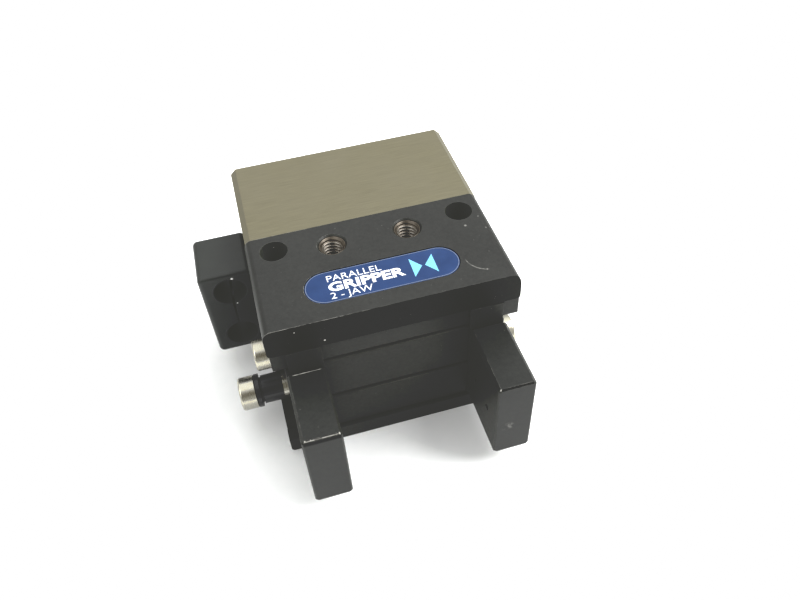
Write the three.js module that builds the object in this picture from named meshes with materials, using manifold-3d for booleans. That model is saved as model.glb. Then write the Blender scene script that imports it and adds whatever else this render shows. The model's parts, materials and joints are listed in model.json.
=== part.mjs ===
// Two-finger parallel pneumatic gripper, lying on its large face.
// Millimetres. +Z is the normal of the labelled face, X is the jaws' stroke, and the fingers point
// towards -Y. The origin is the middle of the underside. The jaws are open, as at rest.
// A piston moves along Y. A wedge hook on its rod carries two slanted ribs, and each rib runs in
// a slanted channel of one jaw, so both jaws close as the piston goes back.

import * as THREE from "three";
import { mergeVertices } from "three/addons/utils/BufferGeometryUtils.js";
import Module from "manifold-3d";

// Body: a rear cylinder housing and a front guide housing that meet at the seam.
const THICKNESS = 33.5;
const REAR_Y = 22.3;
const SEAM_Y = 0.3;
const FRONT_Y = -21.7;
const GUIDE_HALF_WIDTH = 21.3;
const CYLINDER_HALF_WIDTH = 21.05;
const FLAT_HALF_WIDTH = 20;
const BORE_Z = THICKNESS / 2;

// Guide housing: an upper plate over a ledge, and a slot open to the front and both sides.
const PLATE_UNDERSIDE_Z = 27.7;
const PLATE_LEFT_CORNER = { flat: 20, drop: 1.7 };
const PLATE_RIGHT_CORNER = { flat: 19.4, drop: 3.2 };
const LEDGE_Y = -20.7;
const LEDGE_LEFT = -21.05;
const LEDGE_RIGHT = 21.6;
const FOOT_Y = -21.3;
const FOOT_HALF_WIDTH = 21.5;
const SLOT_CEILING_Z = 23.1;
const SLOT_FLOOR_Z = 3.4;
const SLOT_REAR_Y = -9;
const SLOT_MIDDLE_Z = 12.65;
const GUIDE_GAP = 0.8;
const FLOOR_GAP = 0.3;
const GROOVE_Y = -17.7;
const GROOVE_HALF_DIAGONAL = 1.5;
const ROLLER_RADIUS = 1;
const ROLLER_LENGTH = 2;
const ROLLER_PITCH = 2.6;
const ROLLER_COUNT = 11;

// Openings in the guide housing's top face.
const MOUNT_HOLE = { x: 16.5, y: -3.65, radius: 2.4 };
const INSERT = { x: 6.65, y: -5.05, mouth: 2.65, recess: 0.3, outer: 2.3, inner: 1.6, depth: 9 };
const LABEL = { x: -0.2, y: -14.8, halfLength: 13.1, radius: 3.6, thickness: 0.3, pocket: 0.4 };

// Cylinder, piston and wedge hook.
const BORE_RADIUS = 12;
const FRONT_WALL_Y = 4.5;
const ROD_RADIUS = 3;
const ROD_TIP_Y = -6.5;
const PISTON_FRONT_Y = 7.2;
const PISTON_REAR_Y = 11.6;
const PISTON_RADIUS = 11.9;
const COVER_FRONT_Y = 17;
const COVER_REAR_Y = 20.2;
const CLIP_THICKNESS = 0.9;
const CLIP_GROOVE_RADIUS = 12.8;
const HOOK_HALF_WIDTH = 6;
const HOOK_FRONT_Y = -18.3;
const HOOK_PLATE_HALF = 2.05;
const RIB_HEIGHT = 3;
const RIB_WIDTH = 3;
const WEDGE_RATIO = 0.8;
const JAW_STROKE = 4;

// Jaws and fingers. Distances near and far are from the middle plane, on either side.
const BAR_END = 19.2;
const BAR_REAR_Y = -9.3;
const TAB = { near: 12.65, far: 18.5, front: -21.65, rear: -20.95, bottom: 4.9, top: 27.4 };
const TONGUE = { near: 14.3, far: 17.5, front: -33, bottom: 9.9, top: 17.4 };
const FINGER = { near: 12.65, far: 19.15, front: -35.3, rear: -21.7, bottom: 4.6, top: 22.7 };
const FINGER_CHAMFER = 0.45;
const FINGER_SCREW_YS = [-25.2, -31];
const FINGER_SCREW_Z = 12.6;
const FINGER_SCREW_LENGTH = 4.4;
const FINGER_VENT_RADIUS = 0.6;

// Screws. Each has a head radius and height, a shank radius and a hexagon socket.
const M3 = { headRadius: 2.75, headHeight: 3, shankRadius: 1.5, hexRadius: 1.45, hexDepth: 1.4 };
const M3_WIDE = { ...M3, headRadius: 3.05 };
const M25 = { headRadius: 2.25, headHeight: 2.5, shankRadius: 1.25, hexRadius: 1.15, hexDepth: 1.2 };
const M25_COUNTERSUNK = { ...M25, headRadius: 2.3, headHeight: 1.3, hexRadius: 0.85, hexDepth: 0.8 };
const COUNTERSINK_LAND = 0.15;
const HOLE_CLEARANCE = 0.08;
const END_SCREW_Y = -12.3;
const END_SCREWS = {
  left: { side: -1, z: 18.3, size: M3, washer: { radius: 2.4, thickness: 1.7 } },
  right: { side: 1, z: 8.6, size: M3_WIDE, washer: { radius: 2.4, thickness: 2.3 } },
};
const END_SCREW_LENGTH = 8;
const CAM_PLACE = { side: -1, z: END_SCREWS.right.z };
const CAM_WASHER = { radius: 2.6, thickness: 1.2 };
const CAM_SPACER = { radius: 2.65, length: 4.9 };
const CAM_FLANGE = { radius: 3.1, length: 0.8 };
const CAM_GROOVE = { radius: 2.35, length: 0.35 };
const HOUSING_SCREW = { x: 11.8, rise: 11.85, seatY: 18.4, tipY: -7.5 };

// Sensor bracket on the left side, with two clamped sensor holes along Y.
const BRACKET = { outer: -30.9, front: 0.6, rear: 11.9, bottom: 6.8, top: 26.6, rounding: 1 };
const SENSOR_HOLE = { x: -25.7, radius: 3, zs: [11.05, 22.35] };
const CLAMP_SLIT_WIDTH = 0.4;
const BRACKET_SCREW_YS = [3.6, 8.9];
const BRACKET_SCREW_Z = 16.7;
const BRACKET_SCREW_GRIP = 6;
const BRACKET_HOLE_END = 14.2;

// Air ports on the right side of the cylinder housing.
const PORT = { radius: 2.1, bottomX: 14.5, passageRadius: 0.9 };
const PORTS = [
  { y: 6.5, passageY: 5.7 },
  { y: 16.2, passageY: 17.3 },
];

const SIDES = 32;
const SMALL_SIDES = 16;
const BORE_SIDES = 48;
const REACH = 40;

const COLOURS = {
  olive: { color: 0x8f8970, roughness: 0.5, metalness: 0.6 },
  black: { color: 0x2f2f2e, roughness: 0.45, metalness: 0.5 },
  steel: { color: 0xb8b5ac, roughness: 0.35, metalness: 0.9 },
  darkSteel: { color: 0x56534d, roughness: 0.4, metalness: 0.9 },
  plastic: { color: 0x1d1e1f, roughness: 0.5, metalness: 0 },
  rubber: { color: 0x141414, roughness: 0.8, metalness: 0 },
  label: { color: 0x28468c, roughness: 0.4, metalness: 0 },
  brass: { color: 0xa88a4a, roughness: 0.4, metalness: 0.8 },
};

const wasm = await Module();
wasm.setup();

const gripper = new THREE.Group();

// Solids -------------------------------------------------------------------------------------

function toSolid(geometry) {
  geometry.deleteAttribute("normal");
  geometry.deleteAttribute("uv");
  const merged = mergeVertices(geometry, 1e-4);
  const mesh = new wasm.Mesh({
    numProp: 3,
    vertProperties: new Float32Array(merged.attributes.position.array),
    triVerts: new Uint32Array(merged.index.array),
  });
  return new wasm.Manifold(mesh);
}

function toGeometry(solid) {
  const mesh = solid.getMesh();
  const geometry = new THREE.BufferGeometry();
  geometry.setAttribute("position", new THREE.BufferAttribute(mesh.vertProperties, 3));
  geometry.setIndex(new THREE.BufferAttribute(mesh.triVerts, 1));
  geometry.computeVertexNormals();
  return geometry;
}

function block(x0, x1, y0, y1, z0, z1) {
  const geometry = new THREE.BoxGeometry(x1 - x0, y1 - y0, z1 - z0);
  geometry.translate((x0 + x1) / 2, (y0 + y1) / 2, (z0 + z1) / 2);
  return toSolid(geometry);
}

// A round bar along one axis. place holds the centre of its section on the other two axes.
function bar(axis, radius, from, to, place, sides = SIDES) {
  const geometry = new THREE.CylinderGeometry(radius, radius, to - from, sides);
  geometry.translate(0, (from + to) / 2, 0);
  if (axis === "x") geometry.rotateZ(-Math.PI / 2);
  if (axis === "z") geometry.rotateX(Math.PI / 2);
  geometry.translate(place.x ?? 0, place.y ?? 0, place.z ?? 0);
  return toSolid(geometry);
}

// Turns a profile of [radius, height] points about the axis and lays the axis along +Y.
function turned(points, sides = SIDES) {
  const profile = points.map(([radius, height]) => new THREE.Vector2(radius, height));
  return toSolid(new THREE.LatheGeometry(profile, sides));
}

// Extrudes an outline drawn in X and Z towards -Y, from rearY, with an optional bevel all round.
function alongY(shape, rearY, frontY, bevel = 0) {
  const geometry = new THREE.ExtrudeGeometry(shape, {
    depth: rearY - frontY - 2 * bevel,
    bevelEnabled: bevel > 0,
    bevelThickness: bevel,
    bevelSize: bevel,
    bevelOffset: -bevel,
    bevelSegments: 1,
    curveSegments: 8,
  });
  geometry.rotateX(Math.PI / 2);
  geometry.translate(0, rearY - bevel, 0);
  return toSolid(geometry);
}

function polygon(points) {
  return new THREE.Shape(points.map(([u, v]) => new THREE.Vector2(u, v)));
}

// A block with all of its twelve edges chamfered.
function chamferedBlock(x0, x1, y0, y1, z0, z1, c) {
  const outline = polygon([
    [x0 + c, z0],
    [x1 - c, z0],
    [x1, z0 + c],
    [x1, z1 - c],
    [x1 - c, z1],
    [x0 + c, z1],
    [x0, z1 - c],
    [x0, z0 + c],
  ]);
  return alongY(outline, y1, y0, c * 0.6);
}

// A block whose edges are all rounded.
function roundedBlock(x0, x1, y0, y1, z0, z1, r) {
  const outline = new THREE.Shape();
  outline.absarc(x0 + r, z0 + r, r, Math.PI, 1.5 * Math.PI, false);
  outline.absarc(x1 - r, z0 + r, r, 1.5 * Math.PI, 2 * Math.PI, false);
  outline.absarc(x1 - r, z1 - r, r, 0, 0.5 * Math.PI, false);
  outline.absarc(x0 + r, z1 - r, r, 0.5 * Math.PI, Math.PI, false);
  const geometry = new THREE.ExtrudeGeometry(outline, {
    depth: y1 - y0 - 1.6 * r,
    bevelThickness: 0.8 * r,
    bevelSize: 0.8 * r,
    bevelOffset: -0.8 * r,
    bevelSegments: 4,
    curveSegments: 4,
  });
  geometry.rotateX(Math.PI / 2);
  geometry.translate(0, y1 - 0.8 * r, 0);
  return toSolid(geometry);
}

function addPart(name, solid, look, parent = gripper) {
  const material = new THREE.MeshStandardMaterial(COLOURS[look]);
  const mesh = new THREE.Mesh(toGeometry(solid), material);
  mesh.name = name;
  parent.add(mesh);
  return mesh;
}

function subtractAll(solid, cutters) {
  return cutters.reduce((result, cutter) => result.subtract(cutter), solid);
}

// Housings -----------------------------------------------------------------------------------

// The upper plate's section in X and Z, with rounded side edges.
function plateOutline() {
  const w = GUIDE_HALF_WIDTH;
  const left = PLATE_LEFT_CORNER;
  const right = PLATE_RIGHT_CORNER;
  const lowerRound = 0.8;
  const shape = new THREE.Shape();
  shape.moveTo(-w + lowerRound, PLATE_UNDERSIDE_Z);
  shape.lineTo(w - lowerRound, PLATE_UNDERSIDE_Z);
  shape.quadraticCurveTo(w, PLATE_UNDERSIDE_Z, w, PLATE_UNDERSIDE_Z + lowerRound);
  shape.lineTo(w, THICKNESS - right.drop);
  shape.quadraticCurveTo(w, THICKNESS, right.flat, THICKNESS);
  shape.lineTo(-left.flat, THICKNESS);
  shape.quadraticCurveTo(-w + 0.2, THICKNESS - 0.2, -w, THICKNESS - left.drop);
  shape.lineTo(-w, PLATE_UNDERSIDE_Z + lowerRound);
  shape.quadraticCurveTo(-w, PLATE_UNDERSIDE_Z, -w + lowerRound, PLATE_UNDERSIDE_Z);
  return shape;
}

// The foot's section in X and Z, with chamfered lower edges.
function footOutline() {
  const w = FOOT_HALF_WIDTH;
  const c = 0.5;
  return polygon([
    [-w + c, 0],
    [w - c, 0],
    [w, c],
    [w, SLOT_FLOOR_Z],
    [-w, SLOT_FLOOR_Z],
    [-w, c],
  ]);
}

// The uncut guide housing: the plate and the foot, and the block between them that has the ledge.
function guideCasting() {
  const plate = alongY(plateOutline(), SEAM_Y, FRONT_Y);
  const foot = alongY(footOutline(), SEAM_Y, FOOT_Y);
  const middle = block(LEDGE_LEFT, LEDGE_RIGHT, LEDGE_Y, SEAM_Y, SLOT_FLOOR_Z - 1, PLATE_UNDERSIDE_Z);
  const core = block(-FLAT_HALF_WIDTH, FLAT_HALF_WIDTH, LEDGE_Y, SEAM_Y, 1, THICKNESS - 1);
  return plate.add(foot).add(middle).add(core);
}

// A square bar along X standing on its edge: the two V grooves that face each other.
function grooveCutter(z) {
  const d = GROOVE_HALF_DIAGONAL;
  const diamond = polygon([
    [-d, 0],
    [0, -d],
    [d, 0],
    [0, d],
  ]);
  const geometry = new THREE.ExtrudeGeometry(diamond, { depth: 2 * REACH, bevelEnabled: false });
  geometry.rotateY(Math.PI / 2);
  geometry.translate(-REACH, GROOVE_Y, z);
  return toSolid(geometry);
}

function housingScrewPlaces() {
  const places = [];
  for (const side of [-1, 1]) {
    for (const level of [-1, 1]) {
      places.push({ x: side * HOUSING_SCREW.x, z: BORE_Z + level * HOUSING_SCREW.rise });
    }
  }
  return places;
}

// Stands a profile turned about the Y axis on the Z axis.
function standing(points, place) {
  return turned(points).rotate([90, 0, 0]).translate([place.x, place.y, 0]);
}

function insertHole(place) {
  const radius = INSERT.outer + HOLE_CLEARANCE;
  const mouthDepth = INSERT.mouth - radius;
  return standing([
    [0, THICKNESS - INSERT.depth],
    [radius, THICKNESS - INSERT.depth],
    [radius, THICKNESS - mouthDepth],
    [INSERT.mouth, THICKNESS],
    [INSERT.mouth, THICKNESS + 1],
    [0, THICKNESS + 1],
  ], place);
}

function labelShape(inset) {
  const radius = LABEL.radius - inset;
  const straight = LABEL.halfLength - LABEL.radius;
  const shape = new THREE.Shape();
  shape.absarc(LABEL.x + straight, LABEL.y, radius, -Math.PI / 2, Math.PI / 2, false);
  shape.absarc(LABEL.x - straight, LABEL.y, radius, Math.PI / 2, (3 * Math.PI) / 2, false);
  return shape;
}

function labelSolid(inset, bottomZ, topZ) {
  const geometry = new THREE.ExtrudeGeometry(labelShape(inset), {
    depth: topZ - bottomZ,
    bevelEnabled: false,
    curveSegments: 16,
  });
  geometry.translate(0, 0, bottomZ);
  return toSolid(geometry);
}

function guideHousing() {
  const passageHalf = HOOK_HALF_WIDTH + 0.4;
  const passageBottom = SLOT_MIDDLE_Z - HOOK_PLATE_HALF - RIB_HEIGHT - 0.4;
  const passageTop = BORE_Z + ROD_RADIUS + 0.5;
  const cutters = [
    block(-REACH, REACH, -REACH, SLOT_REAR_Y, SLOT_FLOOR_Z, SLOT_CEILING_Z),
    block(-passageHalf, passageHalf, SLOT_REAR_Y - 1, SEAM_Y + 1, passageBottom, passageTop),
    grooveCutter(SLOT_CEILING_Z - GUIDE_GAP / 2),
    grooveCutter(SLOT_FLOOR_Z + GUIDE_GAP / 2),
    labelSolid(0, THICKNESS - LABEL.pocket, THICKNESS + 1),
  ];
  for (const side of [-1, 1]) {
    const hole = { x: side * MOUNT_HOLE.x, y: MOUNT_HOLE.y };
    const insert = { x: side * INSERT.x, y: INSERT.y };
    cutters.push(bar("z", MOUNT_HOLE.radius, -1, THICKNESS + 1, hole));
    cutters.push(insertHole(insert));
  }
  for (const place of housingScrewPlaces()) {
    const end = HOUSING_SCREW.tipY - 0.3;
    cutters.push(bar("y", M3.shankRadius + HOLE_CLEARANCE, end, SEAM_Y + 1, place));
  }
  return subtractAll(guideCasting(), cutters);
}

function cylinderHousing() {
  const w = CYLINDER_HALF_WIDTH;
  const c = w - FLAT_HALF_WIDTH;
  const rearChamfer = 0.5;
  const outline = polygon([
    [-w + c, 0],
    [w - c, 0],
    [w, c],
    [w, THICKNESS - c],
    [w - c, THICKNESS],
    [-w + c, THICKNESS],
    [-w, THICKNESS - c],
    [-w, c],
  ]);
  const overlength = 4;
  const casting = alongY(outline, REAR_Y, SEAM_Y - overlength, rearChamfer);
  const clipGroove = [COVER_REAR_Y - 0.1, COVER_REAR_Y + CLIP_THICKNESS];
  const cutters = [
    block(-REACH, REACH, -REACH, SEAM_Y, -1, THICKNESS + 1),
    bar("y", BORE_RADIUS, FRONT_WALL_Y, REACH, { z: BORE_Z }, BORE_SIDES),
    bar("y", CLIP_GROOVE_RADIUS, ...clipGroove, { z: BORE_Z }, BORE_SIDES),
    bar("y", ROD_RADIUS + HOLE_CLEARANCE, -1, FRONT_WALL_Y + 1, { z: BORE_Z }),
    bar("y", 5.05, 2.3, FRONT_WALL_Y + 1, { z: BORE_Z }),
  ];
  for (const place of housingScrewPlaces()) {
    cutters.push(bar("y", M3.shankRadius + 0.15, -1, REACH, place));
    cutters.push(bar("y", M3.headRadius + 0.2, HOUSING_SCREW.seatY, REACH, place));
  }
  for (const port of PORTS) {
    cutters.push(bar("x", PORT.radius, PORT.bottomX, REACH, { y: port.y, z: BORE_Z }));
    const passage = { y: port.passageY, z: BORE_Z };
    cutters.push(bar("x", PORT.passageRadius, BORE_RADIUS - 1.5, PORT.bottomX + 1, passage));
  }
  for (const y of BRACKET_SCREW_YS) {
    const place = { y, z: BRACKET_SCREW_Z };
    cutters.push(bar("x", M25.shankRadius + HOLE_CLEARANCE, -w - 1, -BRACKET_HOLE_END, place));
  }
  return subtractAll(casting, cutters);
}

// Cylinder -----------------------------------------------------------------------------------

// A flat ring about the bore's axis.
function boreRing(outer, inner, frontY, rearY) {
  const ring = turned([
    [inner, frontY],
    [outer, frontY],
    [outer, rearY],
    [inner, rearY],
    [inner, frontY],
  ], BORE_SIDES);
  return ring.translate([0, 0, BORE_Z]);
}

function piston() {
  const screwSeat = PISTON_REAR_Y - M3.headHeight - 0.1;
  const grooveFloor = PISTON_RADIUS - 1.6;
  const middle = (PISTON_FRONT_Y + PISTON_REAR_Y) / 2;
  const stopRadius = 6;
  const stopY = FRONT_WALL_Y + 0.4;
  const body = turned([
    [0, ROD_TIP_Y],
    [ROD_RADIUS, ROD_TIP_Y],
    [ROD_RADIUS, stopY],
    [stopRadius, stopY],
    [stopRadius, PISTON_FRONT_Y],
    [PISTON_RADIUS, PISTON_FRONT_Y],
    [PISTON_RADIUS, middle - 1.1],
    [grooveFloor, middle - 1.1],
    [grooveFloor, middle + 1.1],
    [PISTON_RADIUS, middle + 1.1],
    [PISTON_RADIUS, PISTON_REAR_Y],
    [0, PISTON_REAR_Y],
  ], BORE_SIDES).translate([0, 0, BORE_Z]);
  return subtractAll(body, [
    bar("y", M3.shankRadius + HOLE_CLEARANCE, ROD_TIP_Y - 1, PISTON_REAR_Y + 1, { z: BORE_Z }),
    bar("y", M3.headRadius + 0.15, screwSeat, PISTON_REAR_Y + 1, { z: BORE_Z }),
  ]);
}

function pistonSeal() {
  const middle = (PISTON_FRONT_Y + PISTON_REAR_Y) / 2;
  return boreRing(PISTON_RADIUS + 0.02, PISTON_RADIUS - 1.5, middle - 1, middle + 1);
}

function rearCover() {
  const grooveFront = 18.3;
  const grooveRear = 19.5;
  const radius = BORE_RADIUS - 0.1;
  return turned([
    [0, COVER_FRONT_Y],
    [radius - 1, COVER_FRONT_Y],
    [radius - 1, COVER_FRONT_Y + 1],
    [radius, COVER_FRONT_Y + 1],
    [radius, grooveFront],
    [radius - 1, grooveFront],
    [radius - 1, grooveRear],
    [radius, grooveRear],
    [radius, COVER_REAR_Y],
    [0, COVER_REAR_Y],
  ], BORE_SIDES).translate([0, 0, BORE_Z]);
}

function coverSeal() {
  const radius = BORE_RADIUS - 0.1;
  return boreRing(radius + 0.02, radius - 0.9, 18.4, 19.4);
}

// An open ring with two lugs that a pair of pliers closes.
function retainingRing() {
  const rear = COVER_REAR_Y + CLIP_THICKNESS - 0.1;
  const front = COVER_REAR_Y + 0.05;
  const ring = boreRing(CLIP_GROOVE_RADIUS - 0.1, 10.9, front, rear);
  const gap = block(-1.5, 1.5, front - 1, rear + 1, BORE_Z, BORE_Z + 20);
  const places = [-3, 3].map((x) => ({ x, z: BORE_Z + 10 }));
  const [left, right] = places.map((place) => bar("y", 1.35, front, rear, place, SMALL_SIDES));
  const holes = places.map((place) => bar("y", 0.6, front - 1, rear + 1, place, SMALL_SIDES));
  return subtractAll(ring.subtract(gap).add(left).add(right), holes);
}

// Wedge hook: a plate between the jaws with one slanted rib above and one below. ----------------

// A slanted prism in the jaw plane. lean is the X shift per millimetre of Y, and width is square
// to the prism's own direction.
function slantedRib(lean, width, frontY, rearY, bottomZ, topZ) {
  const half = (width / 2) * Math.hypot(1, lean);
  const centreY = (HOOK_FRONT_Y + SLOT_REAR_Y) / 2;
  const atX = (y) => lean * (y - centreY);
  const outline = polygon([
    [atX(frontY) - half, frontY],
    [atX(frontY) + half, frontY],
    [atX(rearY) + half, rearY],
    [atX(rearY) - half, rearY],
  ]);
  const geometry = new THREE.ExtrudeGeometry(outline, { depth: topZ - bottomZ, bevelEnabled: false });
  geometry.translate(0, 0, bottomZ);
  return toSolid(geometry);
}

function wedgeHook() {
  const bottom = SLOT_MIDDLE_Z - HOOK_PLATE_HALF;
  const top = SLOT_MIDDLE_Z + HOOK_PLATE_HALF;
  const blockHalf = 4.2;
  const plate = block(-HOOK_HALF_WIDTH, HOOK_HALF_WIDTH, HOOK_FRONT_Y, SLOT_REAR_Y + 0.4, bottom, top);
  const rear = block(-blockHalf, blockHalf, SLOT_REAR_Y, ROD_TIP_Y, bottom, BORE_Z + ROD_RADIUS);
  const ribRear = SLOT_REAR_Y - 0.3;
  const upperRib = slantedRib(-WEDGE_RATIO, RIB_WIDTH, HOOK_FRONT_Y, ribRear, top - 0.5, top + RIB_HEIGHT);
  const ribBottom = bottom - RIB_HEIGHT;
  const lowerRib = slantedRib(WEDGE_RATIO, RIB_WIDTH, HOOK_FRONT_Y, ribRear, ribBottom, bottom + 0.5);
  const thread = bar("y", M3.shankRadius + HOLE_CLEARANCE, SLOT_REAR_Y + 0.2, 0, { z: BORE_Z });
  return plate.add(rear).add(upperRib).add(lowerRib).subtract(thread);
}

// Jaws and fingers ---------------------------------------------------------------------------

// side is -1 for the left jaw, on the upper bar, and +1 for the right jaw, on the lower bar.
function jaw({ side, z: screwZ }) {
  const level = -side;
  const near = SLOT_MIDDLE_Z + (level * GUIDE_GAP) / 2;
  const far = level > 0 ? SLOT_CEILING_Z - GUIDE_GAP : SLOT_FLOOR_Z + FLOOR_GAP;
  const bottom = Math.min(near, far);
  const top = Math.max(near, far);
  const spanX = (a, b) => [Math.min(side * a, side * b), Math.max(side * a, side * b)];
  const spanZ = (a, b) => [Math.min(a, b), Math.max(a, b)];

  const rail = chamferedBlock(...spanX(-BAR_END, BAR_END), LEDGE_Y, BAR_REAR_Y, bottom, top, 0.2);
  const joint = block(...spanX(TAB.near, TAB.far), TAB.rear - 0.2, LEDGE_Y + 1, bottom + 0.4, top - 0.4);
  const tab = block(...spanX(TAB.near, TAB.far), TAB.front, TAB.rear, TAB.bottom, TAB.top);
  const tongueX = spanX(TONGUE.near, TONGUE.far);
  const tongue = block(...tongueX, TONGUE.front, TAB.front + 0.5, TONGUE.bottom, TONGUE.top);

  const hookFace = SLOT_MIDDLE_Z + level * HOOK_PLATE_HALF;
  const pocketZ = spanZ(SLOT_MIDDLE_Z, hookFace + level * 0.3);
  const pocketX = spanX(-HOOK_HALF_WIDTH - 0.4, HOOK_HALF_WIDTH + JAW_STROKE + 0.4);
  const channelZ = spanZ(hookFace, hookFace + level * (RIB_HEIGHT + 0.3));
  const endHoleX = spanX(BAR_END - END_SCREW_LENGTH - 0.3, REACH);
  const cutters = [
    block(...pocketX, HOOK_FRONT_Y - 0.3, -5, ...pocketZ),
    slantedRib(side * WEDGE_RATIO, RIB_WIDTH + 0.2, HOOK_FRONT_Y - 0.3, -5, ...channelZ),
    grooveCutter(level > 0 ? SLOT_CEILING_Z - GUIDE_GAP / 2 : SLOT_FLOOR_Z + GUIDE_GAP / 2),
    bar("x", M3.shankRadius + HOLE_CLEARANCE, ...endHoleX, { y: END_SCREW_Y, z: screwZ }),
  ];
  if (side > 0) {
    const camHoleX = [-REACH, -BAR_END + END_SCREW_LENGTH + 0.3];
    cutters.push(bar("x", M3.shankRadius + HOLE_CLEARANCE, ...camHoleX, { y: END_SCREW_Y, z: screwZ }));
  }
  const fingerHole = M25_COUNTERSUNK.shankRadius + HOLE_CLEARANCE;
  for (const y of FINGER_SCREW_YS) {
    const across = spanX(TONGUE.near - 1, TONGUE.far + 1);
    cutters.push(bar("x", fingerHole, ...across, { y, z: FINGER_SCREW_Z }, SMALL_SIDES));
  }
  return subtractAll(rail.add(joint).add(tab).add(tongue), cutters);
}

function finger(side) {
  const spanX = (a, b) => [Math.min(side * a, side * b), Math.max(side * a, side * b)];
  const slack = 0.1;
  const body = chamferedBlock(
    ...spanX(FINGER.near, FINGER.far),
    FINGER.front,
    FINGER.rear,
    FINGER.bottom,
    FINGER.top,
    FINGER_CHAMFER,
  );
  const pocket = block(
    ...spanX(TONGUE.near - slack, TONGUE.far + slack),
    TONGUE.front - 0.2,
    FINGER.rear + 1,
    TONGUE.bottom - slack,
    TONGUE.top + slack,
  );
  const cutters = [pocket];
  for (const y of FINGER_SCREW_YS) {
    const screwHole = spanX(TONGUE.far, FINGER.far + 1);
    const ventHole = spanX(FINGER.near - 1, TONGUE.near);
    const place = { y, z: FINGER_SCREW_Z };
    cutters.push(bar("x", M25_COUNTERSUNK.shankRadius + HOLE_CLEARANCE, ...screwHole, place, SMALL_SIDES));
    cutters.push(bar("x", FINGER_VENT_RADIUS, ...ventHole, place, SMALL_SIDES));
    cutters.push(countersink(side, y));
  }
  return subtractAll(body, cutters);
}

// The cone that a countersunk head sits in, a little larger than the head.
function countersink(side, y) {
  const r = M25_COUNTERSUNK.headRadius + HOLE_CLEARANCE;
  const shank = M25_COUNTERSUNK.shankRadius;
  const depth = M25_COUNTERSUNK.headHeight + HOLE_CLEARANCE;
  const cone = turned([
    [0, -depth],
    [shank, -depth],
    [r, -COUNTERSINK_LAND],
    [r, 1],
    [0, 1],
  ], SMALL_SIDES);
  return cone.rotate([0, 0, -90 * side]).translate([side * FINGER.far, y, FINGER_SCREW_Z]);
}

// Fasteners ----------------------------------------------------------------------------------

function hexSocket(size, topHeight) {
  const geometry = new THREE.CylinderGeometry(size.hexRadius, size.hexRadius, size.hexDepth + 1, 6);
  geometry.translate(0, topHeight + 1 - (size.hexDepth + 1) / 2, 0);
  return toSolid(geometry);
}

// A socket cap screw along +Y, its head's underside at the origin and its head towards +Y.
function capScrew(size, length) {
  const edge = 0.3;
  const body = turned([
    [0, -length],
    [size.shankRadius - edge, -length],
    [size.shankRadius, -length + edge],
    [size.shankRadius, 0],
    [size.headRadius, 0],
    [size.headRadius, size.headHeight - edge],
    [size.headRadius - edge, size.headHeight],
    [0, size.headHeight],
  ]);
  return body.subtract(hexSocket(size, size.headHeight));
}

// A countersunk screw along +Y with its flat head's face at the origin.
function countersunkScrew(size, length) {
  const body = turned([
    [0, -length],
    [size.shankRadius, -length],
    [size.shankRadius, -size.headHeight],
    [size.headRadius, -COUNTERSINK_LAND],
    [size.headRadius, 0],
    [0, 0],
  ], SMALL_SIDES);
  return body.subtract(hexSocket(size, 0));
}

// Lays a screw made along +Y so that its head points along the named direction.
function placeScrew(name, solid, look, headTowards, position) {
  const mesh = addPart(name, solid, look);
  const direction = new THREE.Vector3(...headTowards);
  mesh.quaternion.setFromUnitVectors(new THREE.Vector3(0, 1, 0), direction);
  mesh.position.set(...position);
}

// A ring or sleeve on a screw at a bar's end. Its profile's heights are distances from the middle.
function collar({ side, z }, profile) {
  return turned(profile).rotate([0, 0, -90 * side]).translate([0, END_SCREW_Y, z]);
}

function washer(place, { radius, thickness }) {
  const hole = M3.shankRadius + 0.1;
  return collar(place, [
    [hole, BAR_END],
    [radius, BAR_END],
    [radius, BAR_END + thickness],
    [hole, BAR_END + thickness],
    [hole, BAR_END],
  ]);
}

function camSpacer() {
  const hole = M3.shankRadius + 0.1;
  const start = BAR_END + CAM_WASHER.thickness;
  const end = start + CAM_SPACER.length;
  const flangeStart = end - CAM_FLANGE.length;
  const grooveStart = flangeStart - CAM_GROOVE.length;
  return collar(CAM_PLACE, [
    [hole, start],
    [CAM_SPACER.radius, start],
    [CAM_SPACER.radius, grooveStart],
    [CAM_GROOVE.radius, grooveStart],
    [CAM_GROOVE.radius, flangeStart],
    [CAM_FLANGE.radius, flangeStart],
    [CAM_FLANGE.radius, end],
    [hole, end],
    [hole, start],
  ]);
}

// A sleeve for an M4 thread, with a countersunk mouth.
function threadInsert(side) {
  const top = THICKNESS - INSERT.recess;
  const bottom = THICKNESS - INSERT.depth;
  const rim = INSERT.outer - 0.1;
  return standing([
    [INSERT.inner, bottom],
    [INSERT.outer, bottom],
    [INSERT.outer, top],
    [rim, top],
    [INSERT.inner, top - (rim - INSERT.inner)],
    [INSERT.inner, bottom],
  ], { x: side * INSERT.x, y: INSERT.y });
}

// Guide and sensors --------------------------------------------------------------------------

// A cage strip with crossed rollers, each turned a quarter turn from the next, as one solid.
function rollerCage(z) {
  const half = ((ROLLER_COUNT - 1) / 2) * ROLLER_PITCH;
  let cage = block(-half - 1.6, half + 1.6, GROOVE_Y - 1, GROOVE_Y + 1, z - 0.2, z + 0.2);
  for (let i = 0; i < ROLLER_COUNT; i += 1) {
    const tilt = i % 2 ? 45 : 135;
    const roller = bar("y", ROLLER_RADIUS, -ROLLER_LENGTH / 2, ROLLER_LENGTH / 2, {}, SMALL_SIDES);
    cage = cage.add(roller.rotate([tilt, 0, 0]).translate([-half + i * ROLLER_PITCH, GROOVE_Y, z]));
  }
  return cage;
}

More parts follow.
